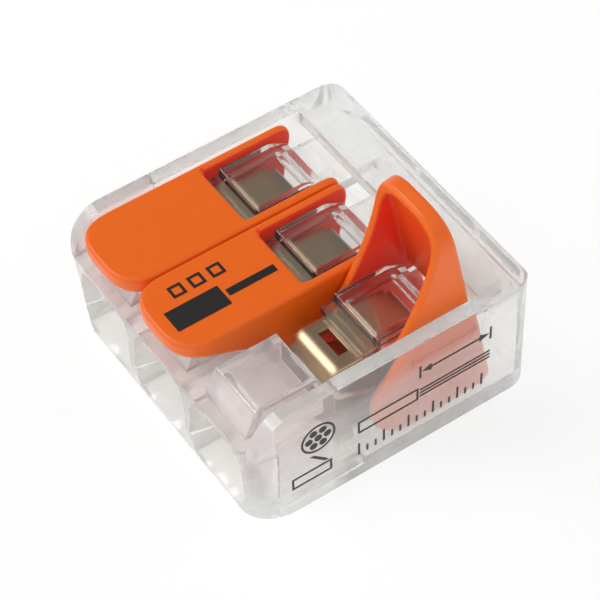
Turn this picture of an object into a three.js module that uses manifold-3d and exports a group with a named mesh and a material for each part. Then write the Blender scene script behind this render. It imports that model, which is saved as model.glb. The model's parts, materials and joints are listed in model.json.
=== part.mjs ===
// Three-pole lever wire connector: a clear two-part housing, a current bar,
// three steel clamp springs and three orange levers. Millimetres, +Z up.
// X runs across the poles, the wire entries face -Y, and the part lies on Z = 0.
import * as THREE from 'three';
import { mergeVertices } from 'three/addons/utils/BufferGeometryUtils.js';
import Module from 'manifold-3d';

const wasm = await Module();
wasm.setup();

// ---- driving dimensions -------------------------------------------------
const WIDTH = 18.7;
const DEPTH = 18.5;
const HEIGHT = 8.5;
const POLES = 3;
const PITCH = 5.6;
const WALL = 0.9;               // side walls and roof of the shell
const FLOOR = 0.8;
const GAP = 0.1;                // running clearance between neighbours
const OPEN_POLE = 2;            // the pole whose lever stands open at rest
const OPEN_ANGLE = THREE.MathUtils.degToRad(79);
const LEG_RATIO = 0.32;         // clamp leg turn for each degree of lever turn

const FRONT = -DEPTH / 2;
const REAR = DEPTH / 2;
const HALF = WIDTH / 2;
const INNER_HALF = HALF - WALL;
const PAST = 1;                 // how far a cutter runs past what it cuts
const ROOTED = 0.3;             // how far a joined piece runs into its neighbour

// housing
const LEDGE_Z = 5.8;            // top of the entry block under the lever tips
const SPLIT_Y = -7.7;           // where the shell's side walls meet the entry block
const ENTRY_REAR = -3.9;        // back of the entry block
const ROOF_FRONT = 5.95;        // front edge of the roof over the rear chamber
const REAR_STEP_Z = 4.5;        // lower half of the back is set in by REAR_STEP
const REAR_STEP = 0.2;
const SHELL_CORNER = 0.9;       // plan rounding of the shell's front ends
const ENTRY_CORNER = 1.1;       // and of the entry block at its top
const FOOT_CORNER = 2.9;        // growing to this at its foot
const REAR_CORNER = 1.5;
const BOTTOM_ROUND = 0.7;       // rounding under the back edge
const TOP_ROUND = 0.4;          // rounding over the back edge
const CHAMBER_REAR = 8.25;

// lever, in its closed position
const HINGE_Y = 1.6;
const HINGE_Z = 3.8;
const LEVER_TOP = HEIGHT - 0.05;
const LEVER_HALF = 2.75;
const ARM = 0.55;
const PLATE = 0.65;
const CUT_FRONT = -1.1;         // front edge of the lever's window cut-out
const TIP_RADIUS = 2.2;
const DISC_RADIUS = 2.85;
const STUD_RADIUS = 0.3;
const STUD_LENGTH = 0.6;
const STUD_X = 2.0;             // stud centre, from the lever's middle
const STUD_Y = -0.45;           // and from the hinge
const STUD_Z = -0.78;

// clamp spring
const STRIP = 0.35;
const SPRING_TOP = 7.1;
const SPRING_HALF = 1.77;
const BEND_Y = -2.2;
const BEND_OUTER = 0.95;
const BEND_Z = SPRING_TOP - BEND_OUTER;
const UPPER_REAR = 2.6;         // rear end of the upper leg
const WAIST_FRONT = 0.3;        // behind this the upper leg is narrow
const WAIST_HALF = 1.3;
const SLOT_HALF = 0.95;         // hole in the upper leg
const SLOT_FRONT = -1.85;
const SLOT_REAR = -1.2;
const LEG_START = THREE.MathUtils.degToRad(220);   // where the leg leaves the bend
const LEG_PART = 0.12;          // turn left open between the two nodes, in radians
const LEG_LENGTH = 4.63;
const LEG_HALF = 1.6;
const WING_Z = 3.45;            // underside of the wings that the lever's studs lift
const WING_HALF = 2.0;
const NOTCH_HALF = 1.25;        // inner edge of each wing

// current bar
const BAR_Z = 1.3;
const BAR_THICK = 0.6;

// ---- solids -------------------------------------------------------------
function solid(geometry) {
  geometry.deleteAttribute('normal');
  geometry.deleteAttribute('uv');
  const merged = mergeVertices(geometry, 1e-5);
  return new wasm.Manifold(new wasm.Mesh({
    numProp: 3,
    vertProperties: new Float32Array(merged.attributes.position.array),
    triVerts: new Uint32Array(merged.index.array),
  }));
}

function box(x0, x1, y0, y1, z0, z1) {
  const geometry = new THREE.BoxGeometry(x1 - x0, y1 - y0, z1 - z0);
  geometry.translate((x0 + x1) / 2, (y0 + y1) / 2, (z0 + z1) / 2);
  return solid(geometry);
}

// A side-view outline (drawn in Y, Z) carried along X.
function acrossX(outline, x0, x1) {
  const geometry = new THREE.ExtrudeGeometry(outline, {
    depth: x1 - x0, bevelEnabled: false, curveSegments: 8,
  });
  const turn = new THREE.Matrix4().makeBasis(
    new THREE.Vector3(0, 1, 0), new THREE.Vector3(0, 0, 1), new THREE.Vector3(1, 0, 0));
  geometry.applyMatrix4(turn);
  geometry.translate(x0, 0, 0);
  return solid(geometry);
}

// A plan outline (drawn in X, Y) carried up Z.
function upZ(outline, z0, z1) {
  const geometry = new THREE.ExtrudeGeometry(outline, {
    depth: z1 - z0, bevelEnabled: false, curveSegments: 8,
  });
  geometry.translate(0, 0, z0);
  return solid(geometry);
}

// A form that changes straight from one plan outline into another one drawn alike.
function lofted(lower, upper, z0, z1) {
  const rings = [lower, upper].map((outline) => outline.getPoints(8).slice(0, -1));
  const count = rings[0].length;
  const points = rings.flatMap((ring, end) => ring.map(
    (point) => new THREE.Vector3(point.x, point.y, end ? z1 : z0)));
  const faces = THREE.ShapeUtils.triangulateShape(rings[0], []).flatMap(
    ([a, b, c]) => [c, b, a, count + a, count + b, count + c]);
  for (let index = 0; index < count; index += 1) {
    const next = (index + 1) % count;
    faces.push(index, next, count + next, index, count + next, count + index);
  }
  const geometry = new THREE.BufferGeometry().setFromPoints(points);
  geometry.setIndex(faces);
  return solid(geometry);
}

function joined(first, ...others) {
  return others.reduce((whole, piece) => whole.add(piece), first);
}

function cut(first, ...others) {
  return others.reduce((whole, piece) => whole.subtract(piece), first);
}

// A closed polygon whose corners [u, v, radius] are rounded where radius is given.
function rounded(corners) {
  const outline = new THREE.Shape();
  const count = corners.length;
  corners.forEach(([u, v, radius = 0], index) => {
    const here = new THREE.Vector2(u, v);
    const before = new THREE.Vector2(...corners[(index + count - 1) % count]);
    const after = new THREE.Vector2(...corners[(index + 1) % count]);
    const into = before.sub(here).normalize().multiplyScalar(radius).add(here);
    const out = after.sub(here).normalize().multiplyScalar(radius).add(here);
    if (index === 0) outline.moveTo(into.x, into.y);
    else outline.lineTo(into.x, into.y);
    if (radius > 0) outline.quadraticCurveTo(u, v, out.x, out.y);
  });
  outline.closePath();
  return outline;
}

function rectangle(u0, u1, v0, v1, radius = 0) {
  return rounded([[u0, v0, radius], [u1, v0, radius], [u1, v1, radius], [u0, v1, radius]]);
}

// ---- finishes -----------------------------------------------------------
const clearPlastic = () => new THREE.MeshStandardMaterial({
  color: '#dfdbd6', roughness: 0.12, metalness: 0, transparent: true, opacity: 0.35,
});
const leverPlastic = () => new THREE.MeshStandardMaterial({
  color: '#ea6927', roughness: 0.42, metalness: 0,
});
const springSteel = () => new THREE.MeshStandardMaterial({
  color: '#8f826b', roughness: 0.28, metalness: 1,
});
const tinnedCopper = () => new THREE.MeshStandardMaterial({
  color: '#b9b4ab', roughness: 0.35, metalness: 1,
});

function part(name, body, material, group) {
  const mesh = body.getMesh();
  const geometry = new THREE.BufferGeometry();
  geometry.setAttribute('position', new THREE.BufferAttribute(mesh.vertProperties, 3));
  geometry.setIndex(new THREE.BufferAttribute(mesh.triVerts, 1));
  geometry.computeVertexNormals();
  const node = new THREE.Mesh(geometry, material);
  node.name = name;
  group.add(node);
}

// ---- housing ------------------------------------------------------------
const poleCentre = (pole) => (pole - (POLES - 1) / 2) * PITCH;
const poleCentres = Array.from({ length: POLES }, (_, pole) => poleCentre(pole));

// The outer form of the closed housing, before anything is hollowed out.
function outerBody() {
  const side = new THREE.Shape();
  const shoulderY = -7.1;       // where the flat top ends
  const shoulderZ = 5.5;        // where the upright front begins
  const topPull = 0.9;          // how far the brow leaves the top on its tangent
  const frontPull = 1.7;        // and how far it comes into the front on its own
  const toeY = FRONT + 0.45;    // the front's foot curves in to here
  const toeZ = 1.3;
  side.moveTo(toeY, 0);
  side.lineTo(REAR - REAR_STEP - BOTTOM_ROUND, 0);
  side.quadraticCurveTo(REAR - REAR_STEP, 0, REAR - REAR_STEP, BOTTOM_ROUND);
  side.lineTo(REAR - REAR_STEP, REAR_STEP_Z - 0.1);
  side.lineTo(REAR, REAR_STEP_Z + 0.1);
  side.lineTo(REAR, HEIGHT - TOP_ROUND);
  side.quadraticCurveTo(REAR, HEIGHT, REAR - TOP_ROUND, HEIGHT);
  side.lineTo(shoulderY, HEIGHT);
  side.bezierCurveTo(
    shoulderY - topPull, HEIGHT, FRONT, shoulderZ + frontPull, FRONT, shoulderZ);
  side.lineTo(FRONT, toeZ);
  side.quadraticCurveTo(FRONT, 0, toeY, 0);
  const plan = (corner) => rounded([
    [-HALF, FRONT, corner], [HALF, FRONT, corner],
    [HALF, REAR, REAR_CORNER], [-HALF, REAR, REAR_CORNER],
  ]);
  const change = LEDGE_Z + GAP / 4;
  return acrossX(side, -HALF, HALF).intersect(joined(
    lofted(plan(FOOT_CORNER), plan(ENTRY_CORNER), 0, change),
    upZ(plan(SHELL_CORNER), change, HEIGHT + PAST)));
}

// Everything the entry block takes up: the front face below the ledge and the
// space between the side walls back to its rear face.
function entryRegion(grow) {
  return joined(
    box(-HALF - PAST, HALF + PAST, FRONT - PAST, SPLIT_Y + grow, -PAST, LEDGE_Z + grow),
    box(-INNER_HALF - grow, INNER_HALF + grow, FRONT - PAST, ENTRY_REAR + grow,
      -PAST, HEIGHT + PAST),
    ...[-1, 1].map((side) => tongue(side, grow)));
}

// Snap tongue that reaches back through the shell's side wall.
function tongue(side, grow) {
  const tongueEnd = -2.2;
  const low = 0.85;
  const high = 1.7;
  const outline = rectangle(
    SPLIT_Y - 0.5, tongueEnd + grow, low - grow, high + grow, 0.35);
  const inside = INNER_HALF - ROOTED;
  const [x0, x1] = side > 0 ? [inside, HALF + grow] : [-HALF - grow, -inside];
  return acrossX(outline, x0, x1);
}

// One wire entry: a mouth that narrows slightly, then a neck into the chamber.
function wireEntry(centre) {
  const mouthBack = -5.15;
  const section = (half, z0, z1, y0, y1) => {
    const outline = rectangle(-half, half, z0, z1, 0.6);
    const geometry = new THREE.ExtrudeGeometry(outline, {
      depth: y1 - y0, bevelEnabled: false, curveSegments: 8,
    });
    geometry.rotateX(Math.PI / 2);
    geometry.translate(centre, y1, 0);
    return solid(geometry);
  };
  return joined(
    section(2.25, 0.85, 5.35, FRONT - PAST, mouthBack),
    funnel(centre, 2.5, 0.6, 5.55, 2.2, 0.9, 5.3, FRONT - 0.01, FRONT + 1.4),
    guideFacet(centre),
    section(1.75, 1.6, 5.0, mouthBack - PAST, ENTRY_REAR + PAST));
}

// Wedge-shaped relief in the wall on the -X side of each mouth: a slanting
// triangle that is deepest at its foot, where it ends on a small level step.
function guideFacet(centre) {
  const wallX = centre - 2.3;
  const openX = wallX + 0.2;    // inside the mouth, clear of its wall
  const deepX = wallX - 0.42;   // how far the foot cuts into the wall
  const lip = FRONT - 0.05;
  const back = FRONT + 1.35;
  const apexZ = 4.9;
  const footZ = 2.1;
  const corners = [
    [openX, lip, apexZ], [wallX, lip, apexZ], [openX, back, footZ], [wallX, back, footZ],
    [openX, lip, footZ], [deepX, lip, footZ],
  ].map((corner) => new THREE.Vector3(...corner));
  const geometry = new THREE.BufferGeometry().setFromPoints(corners);
  geometry.setIndex([
    0, 4, 2, 1, 3, 5, 0, 2, 3, 0, 3, 1, 2, 4, 5, 2, 5, 3, 4, 0, 1, 4, 1, 5,
  ]);
  return solid(geometry);
}

// A four-sided taper between two rounded mouths, from y0 back to y1.
function funnel(centre, half0, low0, high0, half1, low1, high1, y0, y1) {
  const steps = 24;
  const ring = (half, low, high, y) => Array.from({ length: steps }, (_, index) => {
    const turn = (index / steps) * 2 * Math.PI;
    const square = 5;
    const radius = (Math.abs(Math.cos(turn)) ** square + Math.abs(Math.sin(turn)) ** square)
      ** (-1 / square);
    return new THREE.Vector3(
      centre + half * radius * Math.cos(turn), y,
      (low + high) / 2 + ((high - low) / 2) * radius * Math.sin(turn));
  });
  const front = ring(half0, low0, high0, y0);
  const back = ring(half1, low1, high1, y1);
  const points = [...front, ...back,
    new THREE.Vector3(centre, y0, (low0 + high0) / 2),
    new THREE.Vector3(centre, y1, (low1 + high1) / 2)];
  const faces = [];
  for (let index = 0; index < steps; index += 1) {
    const next = (index + 1) % steps;
    faces.push(index, steps + next, next, index, steps + index, steps + next);
    faces.push(2 * steps, index, next);
    faces.push(2 * steps + 1, steps + next, steps + index);
  }
  const geometry = new THREE.BufferGeometry().setFromPoints(points);
  geometry.setIndex(faces);
  return solid(geometry);
}

// The raised clear box over each wire channel, inside the skirt of the lever's tip.
function channelCover(centre) {
  const half = 1.9;
  const side = 0.45;            // thickness of its two sides
  const top = 7.6;
  const roof = 0.5;
  const shell = rounded([
    [-8.55, LEDGE_Z - 0.5], [-8.55, LEDGE_Z + 0.1], [-7.8, top, 0.12], [ENTRY_REAR, top],
    [ENTRY_REAR, LEDGE_Z - 0.5],
  ]);
  const hollow = rounded([
    [-7.6, LEDGE_Z - 0.2, 0.15], [-7.25, top - roof, 0.15],
    [ENTRY_REAR + PAST, top - roof], [ENTRY_REAR + PAST, LEDGE_Z - 0.2],
  ]);
  return {
    body: acrossX(shell, centre - half, centre + half),
    hollow: acrossX(hollow, centre - half + side, centre + half - side),
  };
}

// Space above the entry block for the lever plates and their skirts.
function leverTrough() {
  const slopeStart = -5.4;
  const slopeEndZ = 4.4;
  return acrossX(rounded([
    [FRONT - PAST, LEDGE_Z], [slopeStart, LEDGE_Z], [ENTRY_REAR, slopeEndZ],
    [ENTRY_REAR + PAST, slopeEndZ], [ENTRY_REAR + PAST, HEIGHT + PAST],
    [FRONT - PAST, HEIGHT + PAST],
  ]), -INNER_HALF - GAP, INNER_HALF + GAP);
}

function entryBlock(body) {
  const covers = poleCentres.map(channelCover);
  const block = cut(body.intersect(entryRegion(-GAP / 2)), leverTrough());
  return cut(
    joined(block, ...covers.map((cover) => cover.body)),
    ...poleCentres.map(wireEntry),
    ...covers.map((cover) => cover.hollow));
}

// Chamber behind the entry block: open at the top for the levers, roofed at the rear.
function chamber() {
  const x0 = -INNER_HALF;
  const x1 = INNER_HALF;
  return joined(
    box(x0, x1, ENTRY_REAR - PAST, CHAMBER_REAR, FLOOR, HEIGHT - WALL),
    box(x0, x1, ENTRY_REAR - PAST, ROOF_FRONT, FLOOR, HEIGHT + PAST));
}

// Clear window over each clamp spring. Its outline stays inside the arc that the
// front edge of the lever's cut-out draws round the hinge.
function windowBox(centre) {
  const top = 8.15;
  const roof = 0.45;
  const outline = rounded([
    [-0.95, 7.2], [-0.95, 7.55], [-0.15, 7.62], [-0.05, top, 0.1], [3.3, top, 0.3],
    [4.55, 7.4, 0.1], [4.55, 7.2],
  ]);
  const hollow = rounded([
    [0.3, 6.0], [0.3, top - roof, 0.1], [3.2, top - roof, 0.1], [4.0, 7.2], [4.0, 6.0],
  ]);
  const upperHalf = 1.98;
  const lowerHalf = 2.05;
  const hollowHalf = 1.45;
  const shoulder = 7.6;         // the box is wide below this and narrow above
  return cut(
    joined(
      acrossX(outline, centre - upperHalf, centre + upperHalf),
      acrossX(outline, centre - lowerHalf, centre + lowerHalf)
        .intersect(box(centre - lowerHalf, centre + lowerHalf, -2, 6, 7, shoulder))),
    acrossX(hollow, centre - hollowHalf, centre + hollowHalf));
}

// Strut that carries a window box from the rear wall.
function windowStrut(centre) {
  const half = 1.9;
  const rear = CHAMBER_REAR + ROOTED;
  return acrossX(rounded([
    [3.9, 6.2], [rear, 6.2], [rear, 6.95], [4.6, 6.95], [4.55, 7.3], [3.9, 7.3],
  ]), centre - half, centre + half);
}

function rearRib(x) {
  const half = 0.25;
  const front = 7.15;
  return box(x - half, x + half, front, CHAMBER_REAR + ROOTED,
    FLOOR - ROOTED, HEIGHT - WALL + ROOTED);
}

function housingShell(body) {
  const ribs = [-1, 1].map((side) => rearRib(side * PITCH / 2));
  const wall = cut(body, entryRegion(GAP / 2), chamber());
  return joined(wall, ...ribs, ...poleCentres.map(windowStrut), ...poleCentres.map(windowBox));
}

// ---- lever --------------------------------------------------------------
// Drawn closed, then moved so that the hinge is at its own origin.
function leverSide(inset) {
  const outline = new THREE.Shape();
  const low = 7.5;
  outline.moveTo(FRONT, low);
  outline.lineTo(FRONT, LEVER_TOP - inset);
  outline.lineTo(4.1, LEVER_TOP - inset);
  outline.quadraticCurveTo(5.0, LEVER_TOP - inset, 4.95, LEVER_TOP - 1.0);
  outline.lineTo(HINGE_Y + DISC_RADIUS, HINGE_Z + 0.3);
  outline.absarc(HINGE_Y, HINGE_Z, DISC_RADIUS, 0, -Math.PI * 0.78, true);
  outline.bezierCurveTo(-1.5, 3.2, -2.3, 3.9, -3.1, 4.6);
  outline.bezierCurveTo(-4.6, 5.8, -6.2, 6.8, -8.2, 7.35);
  outline.lineTo(FRONT, low);
  return outline;
}

function leverPlan(inset) {
  const half = LEVER_HALF - inset;
  const radius = TIP_RADIUS - inset / 2;
  return rounded([
    [-half, FRONT + inset, radius], [half, FRONT + inset, radius], [half, REAR], [-half, REAR],
  ]);
}

function lever() {
  const body = acrossX(leverSide(0), -LEVER_HALF, LEVER_HALF)
    .intersect(upZ(leverPlan(0), -PAST, HEIGHT + PAST));
  const channel = upZ(leverPlan(ARM), -PAST, LEVER_TOP - PLATE);
  const cutOut = box(-LEVER_HALF + ARM, LEVER_HALF - ARM, CUT_FRONT, REAR, 0, HEIGHT + PAST);
  const stud = (side) => {
    const geometry = new THREE.CylinderGeometry(STUD_RADIUS, STUD_RADIUS, STUD_LENGTH, 20);
    geometry.rotateZ(Math.PI / 2);
    geometry.translate(side * STUD_X, HINGE_Y + STUD_Y, HINGE_Z + STUD_Z);
    return solid(geometry);
  };
  return joined(cut(body, channel, cutOut), stud(-1), stud(1))
    .translate([0, -HINGE_Y, -HINGE_Z]);
}

// ---- clamp spring -------------------------------------------------------
// Upper leg and bend, drawn about the centre of the bend.
function springUpper() {
  const outer = BEND_OUTER;
  const inner = BEND_OUTER - STRIP;
  const legEnd = UPPER_REAR - BEND_Y;
  const end = LEG_START - LEG_PART;
  const strip = new THREE.Shape();
  strip.moveTo(legEnd, inner);
  strip.lineTo(legEnd, outer);
  strip.lineTo(0, outer);
  strip.absarc(0, 0, outer, Math.PI / 2, end, false);
  strip.lineTo(inner * Math.cos(end), inner * Math.sin(end));
  strip.absarc(0, 0, inner, end, Math.PI / 2, true);
  strip.closePath();
  const above = outer + PAST;
  const waist = (x0, x1) => box(
    x0, x1, WAIST_FRONT - BEND_Y, legEnd + PAST, 0, above);
  const slot = box(
    -SLOT_HALF, SLOT_HALF, SLOT_FRONT - BEND_Y, SLOT_REAR - BEND_Y, 0, above);
  return cut(
    acrossX(strip, -SPRING_HALF, SPRING_HALF),
    waist(-SPRING_HALF - PAST, -WAIST_HALF), waist(WAIST_HALF, SPRING_HALF + PAST), slot);
}

// Clamping leg, drawn about the centre of the bend in its lowest position.
function clampLeg() {
  const middle = BEND_OUTER - STRIP / 2;
  const start = new THREE.Vector2(Math.cos(LEG_START), Math.sin(LEG_START));
  const along = new THREE.Vector2(-start.y, start.x);
  const across = start.clone().multiplyScalar(STRIP / 2);
  const root = start.clone().multiplyScalar(middle);
  const tip = root.clone().addScaledVector(along, LEG_LENGTH);
  const strip = new THREE.Shape([
    root.clone().sub(across), root.clone().add(across),
    tip.clone().add(across), tip.clone().sub(across),
  ]);
  const wingLow = WING_Z - BEND_Z;
  const wingFront = -1.0 - BEND_Y;
  const wingRear = 1.55 - BEND_Y;
  const wing = acrossX(rounded([
    [wingFront, wingLow], [wingRear, wingLow, 0.1], [wingRear, wingLow + STRIP, 0.1],
    [wingFront, wingLow + STRIP],
  ]), -WING_HALF, WING_HALF);
  const notch = box(
    -NOTCH_HALF, NOTCH_HALF, wingFront + STRIP, wingRear + PAST, wingLow - PAST, PAST);
  return joined(cut(wing, notch), acrossX(strip, -LEG_HALF, LEG_HALF));
}

// ---- current bar --------------------------------------------------------
function currentBar() {
  const top = BAR_Z + BAR_THICK;
  const half = 1.7;
  const crossing = box(
    poleCentres[0] - half, poleCentres[POLES - 1] + half, -3.6, -1.8, BAR_Z, top);
  const frame = rounded([
    [-2.2, BAR_Z], [3.3, BAR_Z, 0.3], [3.3, 6.65, 0.3], [0.6, 6.65], [0.6, 6.15],
    [2.8, 6.15, 0.3], [2.8, top, 0.3], [-2.2, top],
  ]);
  return joined(crossing, ...poleCentres.map(
    (centre) => acrossX(frame, centre - 1.3, centre + 1.3)));
}

// ---- assembly -----------------------------------------------------------
function addPole(group, pole) {
  const number = pole + 1;
  const open = pole === OPEN_POLE;
  const hinge = new THREE.Group();
  hinge.position.set(poleCentre(pole), HINGE_Y, HINGE_Z);
  hinge.rotation.x = open ? -OPEN_ANGLE : 0;
  part(`lever_${number}`, lever(), leverPlastic(), hinge);
  const bend = new THREE.Group();
  bend.position.set(poleCentre(pole), BEND_Y, BEND_Z);
  part(`clamp_spring_${number}`, springUpper(), springSteel(), bend);
  const swing = new THREE.Group();
  swing.rotation.x = open ? OPEN_ANGLE * LEG_RATIO : 0;
  part(`clamp_leg_${number}`, clampLeg(), springSteel(), swing);
  bend.add(swing);
  group.add(hinge, bend);
}

const connector = new THREE.Group();
const body = outerBody();
part('housing_shell', housingShell(body), clearPlastic(), connector);
part('entry_block', entryBlock(body), clearPlastic(), connector);
part('current_bar', currentBar(), tinnedCopper(), connector);
for (let pole = 0; pole < POLES; pole += 1) addPole(connector, pole);

export default connector;
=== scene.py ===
"""Looks of a three-pole lever wire connector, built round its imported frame.

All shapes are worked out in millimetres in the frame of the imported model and
written to the meshes in metres. X runs across the poles, the wire entries face
-Y and Z is up.
"""

import json
import logging
import math
from dataclasses import dataclass
from enum import Enum
from typing import Any, Sequence

import bmesh
import bpy
import numpy as np
from mathutils import Matrix, Vector

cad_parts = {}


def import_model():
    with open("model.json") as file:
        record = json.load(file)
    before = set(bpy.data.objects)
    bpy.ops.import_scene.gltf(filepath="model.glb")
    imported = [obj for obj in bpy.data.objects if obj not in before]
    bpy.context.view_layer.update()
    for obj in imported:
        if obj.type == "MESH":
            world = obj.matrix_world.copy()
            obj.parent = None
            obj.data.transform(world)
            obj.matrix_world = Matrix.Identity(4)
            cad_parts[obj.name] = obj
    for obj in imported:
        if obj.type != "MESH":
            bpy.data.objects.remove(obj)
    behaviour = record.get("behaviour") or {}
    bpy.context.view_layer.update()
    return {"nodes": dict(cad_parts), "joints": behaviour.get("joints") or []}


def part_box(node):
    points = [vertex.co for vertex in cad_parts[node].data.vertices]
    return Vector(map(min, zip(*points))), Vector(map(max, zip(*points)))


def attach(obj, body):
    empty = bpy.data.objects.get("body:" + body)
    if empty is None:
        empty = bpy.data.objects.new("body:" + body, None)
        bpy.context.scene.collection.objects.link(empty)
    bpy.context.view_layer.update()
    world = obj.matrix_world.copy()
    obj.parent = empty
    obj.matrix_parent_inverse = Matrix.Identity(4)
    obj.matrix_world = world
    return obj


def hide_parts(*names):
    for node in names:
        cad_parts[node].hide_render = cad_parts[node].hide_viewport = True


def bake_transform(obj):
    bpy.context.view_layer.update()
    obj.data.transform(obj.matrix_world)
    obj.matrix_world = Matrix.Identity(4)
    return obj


MM = 0.001
POLES = (1, 2, 3)
# name of the face attribute that holds how much painted shade each lever face gets
PAINTED_INNER_SHADE = "painted_inner_shade"

MERGE_REACH = 0.004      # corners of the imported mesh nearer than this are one
SLIVER = 0.002           # edges shorter than this are dropped
FLAT_ANGLE = 0.6         # degrees within which neighbouring facets are one face
SMOOTH_ANGLE = 35.0      # degrees up to which shading runs on over an edge
ROUNDED_ANGLE = 32.0     # degrees from which an edge is rounded
LARGE_FACES_RULE = 100   # weight that lets the large faces set the shading

MOTTLE_TO_GRAIN = 8.0    # size of the colour's mottle in grains
ROUGHNESS_SPREAD = 0.15  # share by which the roughness varies up and down
MOTTLE_DETAIL = 3.0
GRAIN_DETAIL = 5.0
CLOUD_DETAIL = 2.0

log = logging.getLogger("connector")


class Slot(Enum):
    """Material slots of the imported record."""

    CLEAR = "clear_housing"
    ORANGE = "orange_lever"
    STEEL = "spring_steel"
    TIN = "tinned_copper"


# ---- meshes ---------------------------------------------------------------


def add_object(name: str, data: bpy.types.ID) -> bpy.types.Object:
    """Make an object from its data and link it to the scene.

    Args:
        name: Name of the object.
        data: Its mesh, camera or lamp.

    Returns:
        The new object.
    """
    made = bpy.data.objects.new(name, data)
    bpy.context.scene.collection.objects.link(made)
    return made


def new_object(name: str, points: np.ndarray, faces: Sequence[Sequence[int]]) -> bpy.types.Object:
    """Make a mesh object at the origin from points in millimetres.

    Args:
        name: Name of the piece.
        points: Array of n by 3 coordinates in millimetres.
        faces: Vertex numbers of each face, counter-clockwise from outside.

    Returns:
        The new object, linked to the scene.
    """
    mesh = bpy.data.meshes.new(name)
    mesh.from_pydata((np.asarray(points, float) * MM).tolist(), [], [list(f) for f in faces])
    mesh.update()
    return add_object(name, mesh)


def grid_faces(rows: int, columns: int, skip: np.ndarray) -> list[list[int]]:
    """List the quads of a rows by columns grid of points, row by row.

    Quad (i, j) joins the points (i, j), (i, j + 1), (i + 1, j + 1) and (i + 1, j).

    Args:
        rows: Number of point rows.
        columns: Number of points in each row.
        skip: Boolean array, (rows - 1) by (columns - 1), of quads to leave out.

    Returns:
        The quads as lists of point numbers.
    """
    corner = np.arange((rows - 1) * columns).reshape(rows - 1, columns)[:, :-1]
    quads = np.stack([corner, corner + 1, corner + columns + 1, corner + columns], axis=-1)
    return quads[~skip].tolist()


def shade(piece: bpy.types.Object) -> None:
    """Shade smooth, but keep edges sharper than the smooth angle crisp."""
    piece.data.shade_smooth()
    piece.data.set_sharp_from_angle(angle=math.radians(SMOOTH_ANGLE))


def soften(piece: bpy.types.Object, width: float, segments: int, clamp: bool = True) -> None:
    """Round every edge sharper than the rounded angle with a live bevel.

    Args:
        piece: Object to round.
        width: Width of the rounding in millimetres.
        segments: Facets across the rounding.
        clamp: Whether the width gives way where faces are narrow.
    """
    bevel = piece.modifiers.new("rounded_edges", "BEVEL")
    bevel.width = width * MM
    bevel.segments = segments
    bevel.limit_method = "ANGLE"
    bevel.angle_limit = math.radians(ROUNDED_ANGLE)
    bevel.use_clamp_overlap = clamp
    bevel.miter_outer = "MITER_ARC"
    even = piece.modifiers.new("even_shading", "WEIGHTED_NORMAL")
    even.mode = "FACE_AREA"
    even.weight = LARGE_FACES_RULE
    even.keep_sharp = True


def thicken(piece: bpy.types.Object, thickness: float) -> None:
    """Give a sheet its thickness, half of it on each side.

    Args:
        piece: The sheet.
        thickness: Its thickness in millimetres.
    """
    wall = piece.modifiers.new("sheet_thickness", "SOLIDIFY")
    wall.thickness = thickness * MM
    wall.offset = 0.0
    wall.use_even_offset = True


def frame_copy(nodes: dict[str, bpy.types.Object], node: str, name: str) -> bpy.types.Object:
    """Copy a node's mesh, merge its loose triangles and rebuild its flat faces.

    Args:
        nodes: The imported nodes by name.
        node: Node to copy.
        name: Name of the new piece.

    Returns:
        The new object. The node itself is left alone.
    """
    mesh = nodes[node].data.copy()
    mesh.name = name
    mesh.materials.clear()
    work = bmesh.new()
    work.from_mesh(mesh)
    bmesh.ops.remove_doubles(work, verts=work.verts, dist=MERGE_REACH * MM)
    bmesh.ops.dissolve_degenerate(work, edges=work.edges, dist=SLIVER * MM)
    bmesh.ops.dissolve_limit(
        work, angle_limit=math.radians(FLAT_ANGLE), verts=work.verts, edges=work.edges)
    work.to_mesh(mesh)
    work.free()
    return add_object(name, mesh)


# ---- finishes -------------------------------------------------------------


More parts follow.
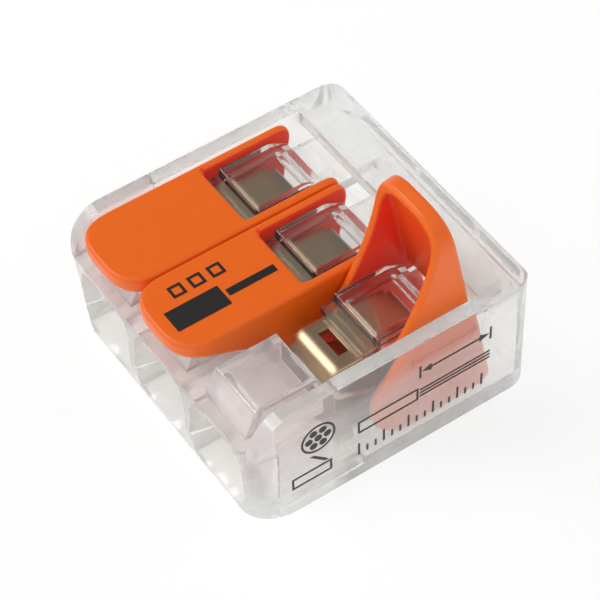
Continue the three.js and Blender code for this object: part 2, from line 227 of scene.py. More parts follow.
@dataclass(frozen=True)
class Finish:
    """A procedural finish: one Principled shader with grain in roughness and bump.

    Attributes:
        name: Name of the material.
        colour: Linear base colour.
        roughness: Middle value of the roughness.
        metallic: 1 for metal.
        grain: Size of the surface grain in millimetres.
        relief: Depth of the grain's bump in millimetres.
        mottle: How much the colour varies, 0 to 1.
        stretch: Factor on the grain's fineness along X, Y and Z.
        specular: Strength of the mirror reflection, 0.5 for common plastic.
    """

    name: str
    colour: tuple[float, float, float]
    roughness: float
    metallic: float = 0.0
    grain: float = 0.25
    relief: float = 0.004
    mottle: float = 0.06
    stretch: tuple[float, float, float] = (1.0, 1.0, 1.0)
    specular: float = 0.5

    def build(self) -> bpy.types.Material:
        """Build the node tree.

        Returns:
            The new material.
        """
        material = bpy.data.materials.new(self.name)
        material.use_nodes = True
        tree = material.node_tree
        shader = tree.nodes["Principled BSDF"]
        shader.inputs["Metallic"].default_value = self.metallic
        shader.inputs["Specular IOR Level"].default_value = self.specular
        coarse = self.noise(tree, self.grain * MOTTLE_TO_GRAIN, MOTTLE_DETAIL)
        fine = self.noise(tree, self.grain, GRAIN_DETAIL)
        tone = tree.nodes.new("ShaderNodeMix")
        tone.data_type = "RGBA"
        dark = tuple(c * (1 - self.mottle) for c in self.colour)
        light = tuple(min(1.0, c * (1 + self.mottle)) for c in self.colour)
        tone.inputs["A"].default_value = (*dark, 1)
        tone.inputs["B"].default_value = (*light, 1)
        tree.links.new(coarse.outputs["Fac"], tone.inputs["Factor"])
        tree.links.new(tone.outputs["Result"], shader.inputs["Base Color"])
        rough = tree.nodes.new("ShaderNodeMapRange")
        rough.inputs["To Min"].default_value = self.roughness * (1 - ROUGHNESS_SPREAD)
        rough.inputs["To Max"].default_value = self.roughness * (1 + ROUGHNESS_SPREAD)
        tree.links.new(fine.outputs["Fac"], rough.inputs["Value"])
        tree.links.new(rough.outputs["Result"], shader.inputs["Roughness"])
        bump = tree.nodes.new("ShaderNodeBump")
        bump.inputs["Distance"].default_value = self.relief * MM
        tree.links.new(fine.outputs["Fac"], bump.inputs["Height"])
        tree.links.new(bump.outputs["Normal"], shader.inputs["Normal"])
        self.finish_shader(tree, shader)
        return material

    def noise(self, tree: bpy.types.NodeTree, size: float, detail: float) -> bpy.types.Node:
        """Add noise that is fixed to the object.

        Args:
            tree: Node tree to add to.
            size: Rough width of its features in millimetres.
            detail: Number of finer layers on top.

        Returns:
            The noise node.
        """
        place = tree.nodes.new("ShaderNodeTexCoord")
        turn = tree.nodes.new("ShaderNodeMapping")
        turn.inputs["Scale"].default_value = self.stretch
        noise = tree.nodes.new("ShaderNodeTexNoise")
        noise.inputs["Scale"].default_value = 1.0 / (size * MM)
        noise.inputs["Detail"].default_value = detail
        tree.links.new(place.outputs["Object"], turn.inputs["Vector"])
        tree.links.new(turn.outputs["Vector"], noise.inputs["Vector"])
        return noise

    def tint(self, tree: bpy.types.NodeTree, shader: bpy.types.Node,
             share: bpy.types.NodeSocket, colour: tuple[float, float, float]) -> None:
        """Mix the shader's base colour towards another one.

        Args:
            tree: Node tree to add to.
            shader: The Principled shader.
            share: Socket with the other colour's share.
            colour: The other colour, linear.
        """
        mix = tree.nodes.new("ShaderNodeMix")
        mix.data_type = "RGBA"
        mix.inputs["B"].default_value = (*colour, 1)
        base = shader.inputs["Base Color"].links[0].from_socket
        tree.links.new(share, mix.inputs["Factor"])
        tree.links.new(base, mix.inputs["A"])
        tree.links.new(mix.outputs["Result"], shader.inputs["Base Color"])

    def finish_shader(self, tree: bpy.types.NodeTree, shader: bpy.types.Node) -> None:
        """Last touches; plain finishes need none."""


@dataclass(frozen=True)
class SatinMoulding(Finish):
    """Moulded lever plastic, with a little light carried under the surface, and painted shade: a
    deeper red on its inner faces.

    Attributes:
        glow: Weight of the scattering below the surface.
        painted_shade_red: Painted shade colour, a deeper red for faces that look onto other faces
            of the same lever, standing in for light bounced between them.
        carry: How far red, green and blue light travel, as shares of the depth.
        depth: Depth that the scattering reaches, in millimetres.
    """

    glow: float = 0.12
    # painted shade colour for the lever's inner faces, standing in for light bounced between them
    painted_shade_red: tuple[float, float, float] = (0.95, 0.050, 0.014)
    carry: tuple[float, float, float] = (1.0, 0.25, 0.08)
    depth: float = 0.35

    def finish_shader(self, tree: bpy.types.NodeTree, shader: bpy.types.Node) -> None:
        """Paint shade by reddening the inner faces, and add the scattering below the surface.

        Args:
            tree: Node tree to add to.
            shader: The Principled shader.
        """
        # painted shade: each face's stored share mixes the base colour towards the deeper red
        inner = tree.nodes.new("ShaderNodeAttribute")
        inner.attribute_name = PAINTED_INNER_SHADE
        self.tint(tree, shader, inner.outputs["Fac"], self.painted_shade_red)
        shader.inputs["Subsurface Weight"].default_value = self.glow
        shader.inputs["Subsurface Radius"].default_value = self.carry
        shader.inputs["Subsurface Scale"].default_value = self.depth * MM


@dataclass(frozen=True)
class Span:
    """Stretch along one axis over which something sets in.

    Attributes:
        axis: Name of the axis.
        start: Where it begins, in millimetres.
        end: Where it has fully set in.
    """

    axis: str
    start: float
    end: float


@dataclass(frozen=True)
class ClearMoulding(Finish):
    """Clear housing plastic that lets lamps reach what is behind it.

    The plastic is slightly milky, apart from the polished windows over the clamps,
    and it clouds a little where the melt flowed together.

    Attributes:
        bend: Index of refraction.
        passed: Share of lamp light that goes straight through one surface.
        milky: Share of the surface that scatters light in the side walls.
        clouds: How much that share varies, up and down.
        cloud_size: Size of the clouds in millimetres.
        zones: Change of the scattering share, with the spans that limit it.
        tints: Colours that the base colour is mixed towards, with the spans that limit them.
    """

    bend: float = 1.58
    passed: float = 0.97
    milky: float = 0.17
    clouds: float = 0.28
    cloud_size: float = 2.6
    zones: tuple[tuple[float, tuple[Span, ...]], ...] = (
        (-0.165, (Span("Z", 5.6, 6.9), Span("Y", 6.4, 5.2))),    # polished windows
        (0.17, (Span("Y", -2.8, -4.4),)),                        # front
        (0.24, (Span("Y", 5.2, 6.4), Span("Z", 6.4, 7.6))),      # roof of the rear
        (0.14, (Span("Z", 2.4, 1.0),)),                          # foot
        (0.25, (Span("Y", -7.65, -7.9), Span("Z", 5.9, 6.2))),   # front of the covers
    )
    tints: tuple[tuple[tuple[float, float, float], tuple[Span, ...]], ...] = (
        ((0.905, 0.850, 0.840), (Span("Y", -2.8, -4.4), Span("Z", 2.0, 5.0))),  # blush
        ((0.975, 0.978, 0.965), (Span("Y", 5.2, 6.4),)),         # paler rear
    )

    def finish_shader(self, tree: bpy.types.NodeTree, shader: bpy.types.Node) -> None:
        """Make the shader transmit, and pass lamp light straight through.

        Args:
            tree: Node tree to add to.
            shader: The Principled shader.
        """
        place = tree.nodes.new("ShaderNodeTexCoord")
        axes = tree.nodes.new("ShaderNodeSeparateXYZ")
        tree.links.new(place.outputs["Object"], axes.inputs["Vector"])
        tree.links.new(self.clarity(tree, axes), shader.inputs["Transmission Weight"])
        for colour, spans in self.tints:
            self.tint(tree, shader, self.limited(tree, axes, 1.0, spans), colour)
        shader.inputs["IOR"].default_value = self.bend
        straight = tree.nodes.new("ShaderNodeBsdfTransparent")
        straight.inputs["Color"].default_value = (self.passed,) * 3 + (1,)
        ray = tree.nodes.new("ShaderNodeLightPath")
        mix = tree.nodes.new("ShaderNodeMixShader")
        tree.links.new(ray.outputs["Is Shadow Ray"], mix.inputs["Fac"])
        tree.links.new(shader.outputs["BSDF"], mix.inputs[1])
        tree.links.new(straight.outputs["BSDF"], mix.inputs[2])
        tree.links.new(mix.outputs["Shader"], tree.nodes["Material Output"].inputs["Surface"])

    def clarity(self, tree: bpy.types.NodeTree, axes: bpy.types.Node) -> bpy.types.NodeSocket:
        """Work out the clear share of the surface from its place on the part.

        It is 1 less the scattering share, which is the sum of milky and each zone's
        change times its spans, all times a cloud factor that runs from about
        1 - clouds to 1 + clouds. The noise keeps mostly to the middle half of its
        range, so the factor's full range is twice that wide.

        Args:
            tree: Node tree to add to.
            axes: Node that gives the place's X, Y and Z.

        Returns:
            The socket that carries the share.
        """
        scatter: bpy.types.NodeSocket | float = self.milky
        for change, spans in self.zones:
            scatter = self.combine(tree, "ADD", self.limited(tree, axes, change, spans), scatter)
        cloud = tree.nodes.new("ShaderNodeMapRange")
        cloud.inputs["To Min"].default_value = 1 - 2 * self.clouds
        cloud.inputs["To Max"].default_value = 1 + 2 * self.clouds
        noise = self.noise(tree, self.cloud_size, CLOUD_DETAIL)
        tree.links.new(noise.outputs["Fac"], cloud.inputs["Value"])
        scatter = self.combine(tree, "MULTIPLY", scatter, cloud.outputs["Result"])
        return self.combine(tree, "SUBTRACT", 1.0, scatter)

    def combine(self, tree: bpy.types.NodeTree, operation: str,
                first: bpy.types.NodeSocket | float,
                second: bpy.types.NodeSocket | float) -> bpy.types.NodeSocket:
        """Add one operation on two sockets or numbers.

        Args:
            tree: Node tree to add to.
            operation: Name of the node's operation.
            first: Left side.
            second: Right side.

        Returns:
            The socket that carries the result.
        """
        node = tree.nodes.new("ShaderNodeMath")
        node.operation = operation
        for side, value in zip(node.inputs, (first, second)):
            if isinstance(value, float):
                side.default_value = value
            else:
                tree.links.new(value, side)
        return node.outputs["Value"]

    def limited(self, tree: bpy.types.NodeTree, axes: bpy.types.Node, amount: float,
                spans: tuple[Span, ...]) -> bpy.types.NodeSocket:
        """Multiply an amount by one ramp from 0 to 1 along each span.

        Args:
            tree: Node tree to add to.
            axes: Node that gives the place's X, Y and Z.
            amount: What is reached where every span has fully set in.
            spans: Where the ramps run.

        Returns:
            The socket that carries the product.
        """
        result: bpy.types.NodeSocket | float = amount
        for span in spans:
            node = tree.nodes.new("ShaderNodeMapRange")
            node.inputs["From Min"].default_value = span.start * MM
            node.inputs["From Max"].default_value = span.end * MM
            tree.links.new(axes.outputs[span.axis], node.inputs["Value"])
            result = self.combine(tree, "MULTIPLY", node.outputs["Result"], result)
        return result


@dataclass(frozen=True)
class BacklitSheet(Finish):
    """White sheet of a light table, so that shadows on it stay faint.

    Attributes:
        glow: Strength of the light it gives off.
        white: Colour of that light.
    """

    glow: float = 0.69
    white: tuple[float, float, float] = (1.0, 1.0, 0.995)

    def finish_shader(self, tree: bpy.types.NodeTree, shader: bpy.types.Node) -> None:
        """Let the sheet give off most of its own white."""
        shader.inputs["Emission Color"].default_value = (*self.white, 1)
        shader.inputs["Emission Strength"].default_value = self.glow


class Finishes:
    """Every material of the connector, built once."""

    def __init__(self) -> None:
        """Build the materials."""
        self.clear = ClearMoulding(
            "clear_polycarbonate", colour=(0.925, 0.919, 0.898), roughness=0.05,
            grain=0.9, relief=0.006, mottle=0.01).build()
        self.orange = SatinMoulding(
            "orange_polyamide", colour=(0.915, 0.150, 0.006), roughness=0.38,
            grain=0.12, relief=0.0025, mottle=0.03, specular=0.42).build()
        self.steel = Finish(
            "spring_steel_strip", colour=(0.54, 0.42, 0.275), roughness=0.34, metallic=1.0,
            grain=0.10, relief=0.00012, mottle=0.03, stretch=(1.0, 0.10, 0.10)).build()
        self.tin = Finish(
            "tin_plate", colour=(0.42, 0.37, 0.31), roughness=0.34, metallic=1.0,
            grain=0.16, relief=0.003, mottle=0.12).build()
        self.print_ink = Finish(
            "pad_print_ink", colour=(0.012, 0.011, 0.010), roughness=0.45,
            grain=0.05, relief=0.002, mottle=0.3).build()


def dress(piece: bpy.types.Object, material: bpy.types.Material, body: str) -> None:
    """Give a finished piece its material and the body it rides on.

    Args:
        piece: The piece.
        material: Its only material.
        body: Name of the moving body that carries it.
    """
    piece.data.materials.clear()
    piece.data.materials.append(material)
    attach(piece, body)
    log.info("%s rides on %s", piece.name, body)


# ---- sub-assemblies -------------------------------------------------------


@dataclass
class Housing:
    """Clear shell and entry block.

    Attributes:
        nodes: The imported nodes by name.
        edge: Width of the moulded edge rounding in millimetres.
        facets: Facets across that rounding.
    """

    nodes: dict[str, bpy.types.Object]
    edge: float = 0.14
    facets: int = 2

    def build(self, finishes: Finishes) -> None:
        """Make both clear mouldings with rounded edges.

        Args:
            finishes: The materials to dress it in.
        """
        for node in ("housing_shell", "entry_block"):
            piece = frame_copy(self.nodes, node, f"clear_{node}")
            soften(piece, self.edge, self.facets)
            shade(piece)
            dress(piece, finishes.clear, "root")
            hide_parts(node)


@dataclass
class Levers:
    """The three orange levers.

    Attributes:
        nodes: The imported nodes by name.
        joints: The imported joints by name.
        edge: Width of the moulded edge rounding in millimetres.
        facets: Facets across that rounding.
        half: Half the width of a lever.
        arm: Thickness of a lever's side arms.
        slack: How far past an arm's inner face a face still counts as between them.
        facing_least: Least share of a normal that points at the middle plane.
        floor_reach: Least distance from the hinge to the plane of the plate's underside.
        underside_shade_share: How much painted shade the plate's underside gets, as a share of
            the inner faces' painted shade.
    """

    nodes: dict[str, bpy.types.Object]
    joints: dict[str, dict[str, Any]]
    edge: float = 0.22
    facets: int = 4
    half: float = 2.75
    arm: float = 0.55
    slack: float = 0.1
    facing_least: float = 0.3
    floor_reach: float = 3.5
    underside_shade_share: float = 0.6

    def build(self, finishes: Finishes) -> None:
        """Make each lever with its moulded edge rounding.

        Args:
            finishes: The materials to dress it in.
        """
        for pole in POLES:
            node = f"lever_{pole}"
            piece = frame_copy(self.nodes, node, f"orange_{node}")
            hinge = np.array(self.joints[f"{node}_hinge"]["pos_m"]) / MM
            # paint shade on the inner faces: store each face's share of the deeper red
            self.paint_inner_shade(piece, hinge)
            soften(piece, self.edge, self.facets, clamp=False)
            shade(piece)
            dress(piece, finishes.orange, node)
            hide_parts(node)

    def paint_inner_shade(self, piece: bpy.types.Object, hinge: np.ndarray) -> None:
        """Store how much painted shade each face gets, from how far it looks onto other faces of
        the same lever.

        The arms' inner faces get 1: they lie inside the arms and their normals point
        towards the lever's middle plane. The plate's underside gets the floor share:
        the hinge axis lies well out along its normal. All other faces get 0.

        Args:
            piece: The lever.
            hinge: A point on its hinge axis, in millimetres.
        """
        faces = piece.data.polygons
        middle = np.empty(len(faces) * 3)
        normal = np.empty(len(faces) * 3)
        faces.foreach_get("center", middle)
        faces.foreach_get("normal", normal)
        from_hinge = middle.reshape(-1, 3) / MM - hinge
        normal = normal.reshape(-1, 3)
        between = np.abs(from_hinge[:, 0]) < self.half - self.arm + self.slack
        facing = -np.sign(from_hinge[:, 0]) * normal[:, 0]
        reach = -(from_hinge[:, 1:] * normal[:, 1:]).sum(axis=1)
        shade_amount = np.where(reach > self.floor_reach, self.underside_shade_share, 0.0)
        shade_amount = np.where(facing > self.facing_least, 1.0, shade_amount) * between
        # painted shade amount per face, read by the lever material
        layer = piece.data.attributes.new(PAINTED_INNER_SHADE, "FLOAT", "FACE")
        layer.data.foreach_set("value", shade_amount.astype(np.float32))


@dataclass
class ClampSprings:
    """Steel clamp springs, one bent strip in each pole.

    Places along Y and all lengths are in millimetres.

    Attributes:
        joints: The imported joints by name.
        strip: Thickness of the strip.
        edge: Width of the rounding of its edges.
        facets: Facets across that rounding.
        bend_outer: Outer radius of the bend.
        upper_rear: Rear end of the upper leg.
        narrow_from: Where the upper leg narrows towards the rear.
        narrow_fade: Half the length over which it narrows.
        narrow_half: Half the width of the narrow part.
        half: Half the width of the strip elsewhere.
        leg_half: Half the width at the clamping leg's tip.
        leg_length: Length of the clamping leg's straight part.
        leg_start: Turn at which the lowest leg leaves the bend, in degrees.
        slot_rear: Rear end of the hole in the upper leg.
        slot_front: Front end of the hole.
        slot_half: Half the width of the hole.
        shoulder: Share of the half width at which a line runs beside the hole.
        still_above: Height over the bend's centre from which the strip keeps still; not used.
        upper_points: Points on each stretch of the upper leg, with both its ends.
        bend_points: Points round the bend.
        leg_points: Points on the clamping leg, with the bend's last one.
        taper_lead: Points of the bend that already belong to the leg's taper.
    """

    joints: dict[str, dict[str, Any]]
    strip: float = 0.35
    edge: float = 0.05
    facets: int = 2
    bend_outer: float = 0.95
    upper_rear: float = 2.6
    narrow_from: float = 0.3
    narrow_fade: float = 0.06
    narrow_half: float = 1.3
    half: float = 1.77
    leg_half: float = 1.6
    leg_length: float = 4.63
    leg_start: float = 220.0
    slot_rear: float = -1.2
    slot_front: float = -1.85
    slot_half: float = 0.95
    shoulder: float = 0.77
    still_above: float = 0.15
    upper_points: int = 5
    bend_points: int = 25
    leg_points: int = 13
    taper_lead: int = 6

    def build(self, finishes: Finishes) -> None:
        """Make the strip of each pole as one piece, bent round its bend.

        Args:
            finishes: The materials to dress it in.
        """
        for pole in POLES:
            joint = self.joints[f"clamp_leg_{pole}_bend"]
            centre = np.array(joint["pos_m"]) / MM
            raised = -joint["range_deg"][0]
            piece = self.make_strip(f"steel_clamp_spring_{pole}", centre, raised)
            thicken(piece, self.strip)
            soften(piece, self.edge, self.facets)
            shade(piece)
            piece.data.materials.append(finishes.steel)
            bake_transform(piece)
            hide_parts(f"clamp_spring_{pole}", f"clamp_leg_{pole}")
            log.info("%s flexes between root and clamp_leg_%d", piece.name, pole)

    def route(self, centre: np.ndarray, raised: float) -> tuple[np.ndarray, np.ndarray]:
        """Follow the middle of the strip in side view, with its half width.

        The strip runs forward along the straight upper leg, round a circular arc
        about the bend's centre, and leaves it on a straight tangent as the leg.

        Args:
            centre: Centre of the bend in millimetres.
            raised: Degrees that the leg is lifted above its lowest position.

        Returns:
            Points (y, z) along the strip, and the half width at each.
        """
        middle = self.bend_outer - self.strip / 2
        _, bend_y, bend_z = centre
        knots = [self.upper_rear, self.narrow_from + self.narrow_fade,
                 self.narrow_from - self.narrow_fade, self.slot_rear, self.slot_front, bend_y]
        stretches = [np.linspace(a, b, self.upper_points)[:-1] for a, b in zip(knots, knots[1:])]
        upper_y = np.concatenate(stretches)
        upper = np.stack([upper_y, np.full_like(upper_y, bend_z + middle)], axis=1)
        turn = np.radians(np.linspace(90, self.leg_start + raised, self.bend_points))
        arc = np.stack([bend_y + middle * np.cos(turn), bend_z + middle * np.sin(turn)], axis=1)
        along = np.array([-np.sin(turn[-1]), np.cos(turn[-1])])
        reach = np.linspace(0, self.leg_length, self.leg_points)[1:, None]
        leg = arc[-1] + reach * along
        route = np.concatenate([upper, arc, leg])
        wide = np.full(len(route), self.half)
        wide[:len(upper)] = np.where(upper_y > self.narrow_from, self.narrow_half, self.half)
        taper = np.linspace(0, 1, len(leg) + self.taper_lead)
        wide[-len(taper):] = self.half + (self.leg_half - self.half) * taper
        return route, wide

    def make_strip(self, name: str, centre: np.ndarray, raised: float) -> bpy.types.Object:
        """Carry a flat section along the route and leave the slot open.

        Point (i, j) is at the route's point i, moved across by the half width times
        the j-th of a fixed set of fractions from -1 to 1.

        Args:
            name: Name of the piece.
            centre: Centre of the bend in millimetres.
            raised: Degrees that the leg is lifted above its lowest position.

        Returns:
            The strip as a sheet without thickness.
        """
        route, wide = self.route(centre, raised)
        edge = self.slot_half / self.half
        outward = [edge / 2, edge, self.shoulder, 1]
        across = np.array([-share for share in reversed(outward)] + [0] + outward)
        x = centre[0] + wide[:, None] * across[None, :]
        y = np.repeat(route[:, :1], len(across), axis=1)
        z = np.repeat(route[:, 1:], len(across), axis=1)
        mid_y = (route[1:, 0] + route[:-1, 0]) / 2
        on_top = route[1:, 1] > centre[2] + self.bend_outer - self.strip
        in_slot = (mid_y < self.slot_rear) & (mid_y > self.slot_front) & on_top
        mid_across = (across[1:] + across[:-1]) / 2
        skip = in_slot[:, None] & (np.abs(mid_across) < edge)[None, :]
        points = np.stack([x, y, z], axis=-1).reshape(-1, 3)
        return new_object(name, points, grid_faces(len(route), len(across), skip))


@dataclass
class CurrentBar:
    """Tinned bar that joins the poles.

    Attributes:
        nodes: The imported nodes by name.
        edge: Width of the pressed edge rounding in millimetres.
        facets: Facets across that rounding.
    """

    nodes: dict[str, bpy.types.Object]
    edge: float = 0.08
    facets: int = 2

    def build(self, finishes: Finishes) -> None:
        """Make the bar with pressed, rounded edges.

        Args:
            finishes: The materials to dress it in.
        """
        piece = frame_copy(self.nodes, "current_bar", "tinned_current_bar")
        soften(piece, self.edge, self.facets)
        shade(piece)
        dress(piece, finishes.tin, "root")
        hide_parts("current_bar")


# ---- printed marks --------------------------------------------------------


@dataclass(frozen=True)
class PrintPlane:
    """Flat place to print on.

    Attributes:
        origin: Where (0, 0) of the drawing goes, in millimetres.
        across: Direction of the drawing's first axis.
        upward: Direction of the drawing's second axis.
    """

    origin: tuple[float, float, float]
    across: tuple[float, float, float]
    upward: tuple[float, float, float]

    def place(self, flat: np.ndarray, height: float) -> np.ndarray:
        """Carry drawing points onto the plane.

        A point is the origin plus its two coordinates along the plane's directions
        plus the height along their cross product.

        Args:
            flat: Array of n by 2 coordinates in the drawing.
            height: Height over the plane in millimetres.

        Returns:
            Array of n by 3 coordinates in millimetres.
        """
        out = np.cross(self.across, self.upward)
        return (np.array(self.origin) + flat[:, :1] * np.array(self.across)
                + flat[:, 1:] * np.array(self.upward) + height * out)


def circle(u: float, v: float, radius: float, sides: int) -> list[tuple[float, float]]:
    """Work out points at equal steps round a circle, counter-clockwise.

    Args:
        u: Middle along the drawing's first axis.
        v: Middle along its second axis.
        radius: Radius in millimetres.
        sides: Number of points.

    Returns:
        The points.
    """
    turn = np.arange(sides) * 2 * math.pi / sides
    return [(u + radius * math.cos(t), v + radius * math.sin(t)) for t in turn]


class Ink:
    """Thin layer of printed shapes on one plane, gathered into one mesh.

    Attributes:
        lift: Gap below the ink in millimetres.
        thickness: Thickness of the ink.
        disc_sides: Sides of a filled circle.
        ring_sides: Sides of a circle line.
    """

    lift: float = 0.002
    thickness: float = 0.02
    disc_sides: int = 24
    ring_sides: int = 48

    def __init__(self, plane: PrintPlane) -> None:
        """Start an empty print.

        Args:
            plane: Where it is printed.
        """
        self.plane = plane
        self.points: list[np.ndarray] = []
        self.faces: list[list[int]] = []
        self.count = 0

    def add(self, flat: np.ndarray, faces: list[list[int]], rim: list[tuple[int, int]]) -> None:
        """Add one flat shape as a thin closed solid.

        Args:
            flat: Points of the shape in the drawing.
            faces: Its faces, counter-clockwise.
            rim: Directed edges along its outline, the shape on their left.
        """
        many = len(flat)
        top = self.plane.place(flat, self.lift + self.thickness)
        low = self.plane.place(flat, self.lift)
        base = self.count
        self.points += [top, low]
        self.faces += [[base + v for v in face] for face in faces]
        self.faces += [[base + many + v for v in reversed(face)] for face in faces]
        self.faces += [[base + a, base + many + a, base + many + b, base + b] for a, b in rim]
        self.count += 2 * many

    def patch(self, corners: Sequence[tuple[float, float]]) -> None:
        """Print a filled polygon.

        Args:
            corners: Its corners, counter-clockwise.
        """
        many = len(corners)
        rim = [(k, (k + 1) % many) for k in range(many)]
        self.add(np.array(corners, float), [list(range(many))], rim)

    def bar(self, u0: float, v0: float, u1: float, v1: float) -> None:
        """Print a filled rectangle between two opposite corners."""
        self.patch([(u0, v0), (u1, v0), (u1, v1), (u0, v1)])

    def disc(self, u: float, v: float, radius: float) -> None:
        """Print a filled circle."""
        self.patch(circle(u, v, radius, self.disc_sides))

    def loop(self, corners: Sequence[tuple[float, float]], width: float) -> None:
        """Print the outline of a convex shape, its corners counter-clockwise.

        The inner edge is the outer one shrunk so that the line is about width wide.

        Args:
            corners: Its corners.
            width: Width of the line in millimetres.
        """
        outer = np.array(corners, float)
        centre = outer.mean(axis=0)
        reach = np.abs(outer - centre).max(axis=0)
        inner = centre + (outer - centre) * (1 - width / reach)
        many = len(outer)
        turn = [(k, (k + 1) % many) for k in range(many)]
        faces = [[a, b, many + b, many + a] for a, b in turn]
        rim = turn + [(many + b, many + a) for a, b in turn]
        self.add(np.concatenate([outer, inner]), faces, rim)

    def ring(self, u: float, v: float, radius: float, width: float) -> None:
        """Print a circle line."""
        self.loop(circle(u, v, radius, self.ring_sides), width)

    def frame(self, u0: float, v0: float, u1: float, v1: float, width: float) -> None:
        """Print the outline of a rectangle."""
        self.loop([(u0, v0), (u1, v0), (u1, v1), (u0, v1)], width)

    def build(self, name: str, finishes: Finishes, body: str) -> None:
        """Turn the gathered shapes into one inked piece.

        Args:
            name: Name of the piece.
            finishes: The materials, of which it takes the ink.
            body: Name of the moving body that carries it.
        """
        piece = new_object(name, np.concatenate(self.points), self.faces)
        piece.data.materials.append(finishes.print_ink)
        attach(piece, body)
        log.info("%s rides on %s", piece.name, body)


@dataclass
class Prints:
    """Plain pictograms: a strip gauge, a scale and a wire section. No lettering.

    Attributes:
        side_x: Outer face of the side wall, in millimetres.
        lever_top: Height of the shut lever's plate.
        line: Width of a thin printed line.
    """

    side_x: float
    lever_top: float
    line: float = 0.13

    def build(self, finishes: Finishes) -> None:
        """Print the side wall and the middle lever.

        Args:
            finishes: The materials, of which the prints take the ink.
        """
        side = Ink(PrintPlane((self.side_x, 0, 0), (0, 1, 0), (0, 0, 1)))
        self.strip_gauge(side)
        self.scale(side)
        self.wire_section(side)
        self.lever_sign(side)
        side.build("side_wall_pictograms", finishes, "root")
        plate = Ink(PrintPlane((0, 0, self.lever_top), (0, 1, 0), (-1, 0, 0)))
        self.plate_gauge(plate)
        plate.build("lever_plate_pictogram", finishes, "lever_2")

    def strip_gauge(self, ink: Ink) -> None:
        """Draw a dimension line above a wire whose end is stripped.

        Args:
            ink: Print to add it to.
        """
        start, bare, end = -2.6, 1.5, 6.2
        high, low, half = 6.1, 4.3, 0.5
        point, head, spread = 0.12, 0.75, 0.27
        ink.bar(bare + head, high - self.line / 2, end - head, high + self.line / 2)
        for tip, way in ((bare, 1), (end, -1)):
            ink.bar(tip - self.line / 2, high - half, tip + self.line / 2, high + half)
            wing = [(tip + way * point, high), (tip + way * head, high - spread),
                    (tip + way * head, high + spread)]
            ink.patch(wing if way < 0 else wing[:1] + wing[:0:-1])
        sleeve_gap = 0.1
        ink.frame(start, low - half, bare - sleeve_gap, low + half, self.line)
        apart, strand_half = 0.27, 0.06
        for strand in (-apart, 0.0, apart):
            ink.bar(bare, low + strand - strand_half, end, low + strand + strand_half)

    def scale(self, ink: Ink) -> None:
        """Draw a row of graduation marks, every third one long.

        Args:
            ink: Print to add it to.
        """
        first, step, foot = -2.6, 0.55, 1.95
        marks, every = 16, 3
        long, short = 0.95, 0.5
        for number in range(marks):
            u = first + number * step
            height = long if number % every == 0 else short
            ink.bar(u, foot, u + self.line, foot + height)

    def wire_section(self, ink: Ink) -> None:
        """Draw the end view of a wire with six strands round one.

        Args:
            ink: Print to add it to.
        """
        u, v = -5.15, 5.45
        sheath, spread, strand_radius = 1.1, 0.6, 0.24
        around = 6
        ink.ring(u, v, sheath, self.line)
        ink.disc(u, v, strand_radius)
        for strand in range(around):
            turn = strand * 2 * math.pi / around
            ink.disc(u + spread * math.cos(turn), v + spread * math.sin(turn), strand_radius)

    def lever_sign(self, ink: Ink) -> None:
        """Draw a small housing with its lever lifted.

        Args:
            ink: Print to add it to.
        """
        start, end, foot, roof = -6.9, -4.3, 2.1, 3.0
        ink.frame(start, foot, end, roof, self.line)
        hinge, lean, wide = -4.75, 0.95, 0.25
        low, high = 3.15, 4.1
        ink.patch([(hinge, low), (hinge + wide, low),
                   (hinge + wide - lean, high), (hinge - lean, high)])

    def plate_gauge(self, ink: Ink) -> None:
        """Draw a bold stripped wire, and one square for each pole.

        Args:
            ink: Print to add it to.
        """
        middle = -0.45
        sleeve_start, sleeve_end, sleeve_half = -8.4, -5.0, 0.75
        bare_start, bare_end, bare_half = -4.8, -1.7, 0.25
        ink.bar(sleeve_start, middle - sleeve_half, sleeve_end, middle + sleeve_half)
        ink.bar(bare_start, middle - bare_half, bare_end, middle + bare_half)
        before, pitch, side = -8.6, 1.25, 0.85
        foot, bold = 0.85, 0.17
        for pole in POLES:
            u = before + pole * pitch
            ink.frame(u, foot, u + side, foot + side, bold)


# ---- studio ---------------------------------------------------------------


@dataclass(frozen=True)
class DimZone:
    """Part of the surround that gives less light.

    Attributes:
        middle: Direction of its middle, as seen from the connector.
        edge: Cosine of the angle from the middle at which it begins.
        core: Cosine at which it is dimmest.
        depth: Share of the light that is missing there.
    """

    middle: tuple[float, float, float]
    edge: float
    core: float
    depth: float


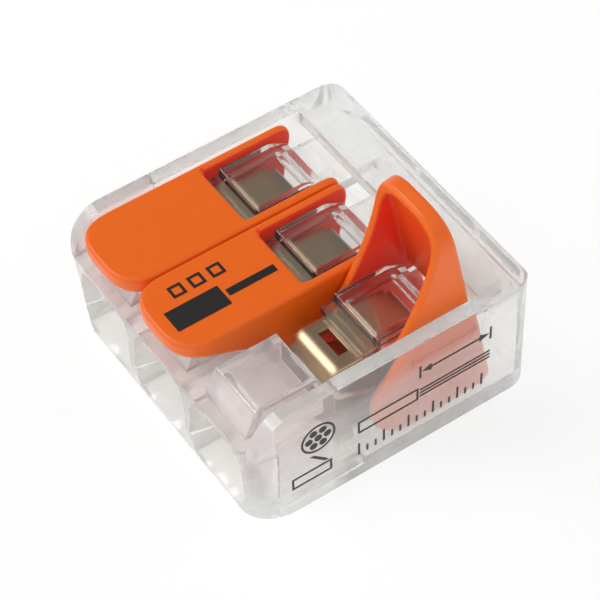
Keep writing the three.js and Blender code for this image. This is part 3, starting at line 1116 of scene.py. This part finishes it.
@dataclass
class Studio:
    """Camera, floor and soft light.

    Attributes:
        azimuth: Turn of the camera about Z from -Y towards +X, in degrees.
        elevation: Height angle of the camera, in degrees.
        roll: Turn of the camera about its own sight line, in degrees.
        distance: From the aim to the camera, in millimetres.
        focal_widths: Focal length as a number of sensor widths.
        aim: Middle of the subject, in millimetres.
        shift: What is added to the aim along the picture's right and up.
        open_strength: Strength of the surround outside its dim zones.
        dim_zones: The dim zones.
        sensor: Width of the camera's sensor in millimetres.
        sight: Nearest and farthest distance that the camera sees, in metres.
        floor_half: Half the floor's side in millimetres.
        floor_gap: Gap between the floor and the connector.
        key_place: Where the key panel hangs, in millimetres.
        key_side: Length of its side.
        key_watts: Its power.
    """

    azimuth: float = 56.93
    elevation: float = 50.14
    roll: float = -2.0
    distance: float = 140.4
    focal_widths: float = 4.2006
    aim: tuple[float, float, float] = (0.0, 0.0, 4.0)
    shift: tuple[float, float] = (0.083, 0.032)
    open_strength: float = 1.04
    dim_zones: tuple[DimZone, ...] = (
        DimZone((-0.54, 0.36, 0.76), 0.45, 0.95, 0.80),
        DimZone((1.0, 0.0, 0.08), 0.35, 0.95, 0.42),
        DimZone((0.3, -1.0, 0.0), 0.50, 0.95, 0.45),
    )
    sensor: float = 36.0
    sight: tuple[float, float] = (0.005, 5.0)
    floor_half: float = 600.0
    floor_gap: float = 0.01
    key_place: tuple[float, float, float] = (-150.0, -110.0, 230.0)
    key_side: float = 170.0
    key_watts: float = 0.30

    def camera(self) -> None:
        """Place the camera on its sight line and aim it at the connector."""
        a, e, r = (math.radians(v) for v in (self.azimuth, self.elevation, self.roll))
        back = Vector((math.sin(a) * math.cos(e), -math.cos(a) * math.cos(e), math.sin(e)))
        level = Vector((math.cos(a), math.sin(a), 0))
        upright = back.cross(level)
        right = level * math.cos(r) + upright * math.sin(r)
        up = upright * math.cos(r) - level * math.sin(r)
        target = Vector(self.aim) + right * self.shift[0] + up * self.shift[1]
        data = bpy.data.cameras.new("camera")
        data.sensor_width = self.sensor
        data.lens = self.focal_widths * data.sensor_width
        data.clip_start, data.clip_end = self.sight
        camera = add_object("camera", data)
        turn = Matrix((right, up, back)).transposed().to_4x4()
        turn.translation = (target + back * self.distance) * MM
        camera.matrix_world = turn
        bpy.context.scene.camera = camera

    def floor(self) -> None:
        """Lay a wide pale floor just under the connector."""
        signs = np.array([[-1, -1, 0], [1, -1, 0], [1, 1, 0], [-1, 1, 0]])
        corners = signs * self.floor_half - (0, 0, self.floor_gap)
        plane = new_object("floor", corners, [[0, 1, 2, 3]])
        sheet = BacklitSheet(
            "backlit_sheet", colour=(0.35, 0.35, 0.35), roughness=0.9,
            grain=2.0, relief=0.004, mottle=0.003, specular=0.1)
        plane.data.materials.append(sheet.build())

    def surround(self) -> None:
        """Build the light from all round, with its dim zones.

        The strength is the open strength times, for each zone, a factor that falls
        smoothly from 1 to 1 - depth as a direction nears the middle of the zone.
        """
        world = bpy.data.worlds.new("surround")
        world.use_nodes = True
        tree = world.node_tree
        ray = tree.nodes.new("ShaderNodeTexCoord")
        strength: bpy.types.NodeSocket | None = None
        for zone in self.dim_zones:
            facing = tree.nodes.new("ShaderNodeVectorMath")
            facing.operation = "DOT_PRODUCT"
            facing.inputs[1].default_value = Vector(zone.middle).normalized()
            tree.links.new(ray.outputs["Generated"], facing.inputs[0])
            fall = tree.nodes.new("ShaderNodeMapRange")
            fall.interpolation_type = "SMOOTHSTEP"
            fall.inputs["From Min"].default_value = zone.edge
            fall.inputs["From Max"].default_value = zone.core
            fall.inputs["To Min"].default_value = 1.0
            fall.inputs["To Max"].default_value = 1 - zone.depth
            tree.links.new(facing.outputs["Value"], fall.inputs["Value"])
            product = tree.nodes.new("ShaderNodeMath")
            product.operation = "MULTIPLY"
            product.inputs[1].default_value = self.open_strength
            tree.links.new(fall.outputs["Result"], product.inputs[0])
            if strength is not None:
                tree.links.new(strength, product.inputs[1])
            strength = product.outputs["Value"]
        sky = tree.nodes["Background"]
        sky.inputs["Color"].default_value = (1.0, 1.0, 1.0, 1)
        tree.links.new(strength, sky.inputs["Strength"])
        bpy.context.scene.world = world

    def key_panel(self) -> None:
        """Hang one square panel that faces the connector, unseen through the plastic."""
        data = bpy.data.lights.new("key_panel", "AREA")
        data.shape = "SQUARE"
        data.size = self.key_side * MM
        data.energy = self.key_watts
        lamp = add_object("key_panel", data)
        lamp.location = Vector(self.key_place) * MM
        lamp.visible_transmission = False
        lamp.rotation_mode = "QUATERNION"
        lamp.rotation_quaternion = (-Vector(self.key_place)).to_track_quat("-Z", "Y")

    def build(self) -> None:
        """Set up the camera first, then the floor and the light."""
        self.camera()
        self.floor()
        self.surround()
        self.key_panel()
        bpy.context.scene.view_settings.view_transform = "Standard"


def main() -> None:
    """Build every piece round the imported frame, in order."""
    logging.basicConfig(level=logging.INFO, format="%(message)s")
    studio = Studio()
    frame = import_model()
    studio.build()
    finishes = Finishes()
    joints = {joint["name"]: joint for joint in frame["joints"]}
    Housing(frame["nodes"]).build(finishes)
    Levers(frame["nodes"], joints).build(finishes)
    ClampSprings(joints).build(finishes)
    CurrentBar(frame["nodes"]).build(finishes)
    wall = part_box("housing_shell")[1].x / MM
    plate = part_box("lever_2")[1].z / MM
    Prints(wall, plate).build(finishes)


if __name__ == "__main__":
    main()
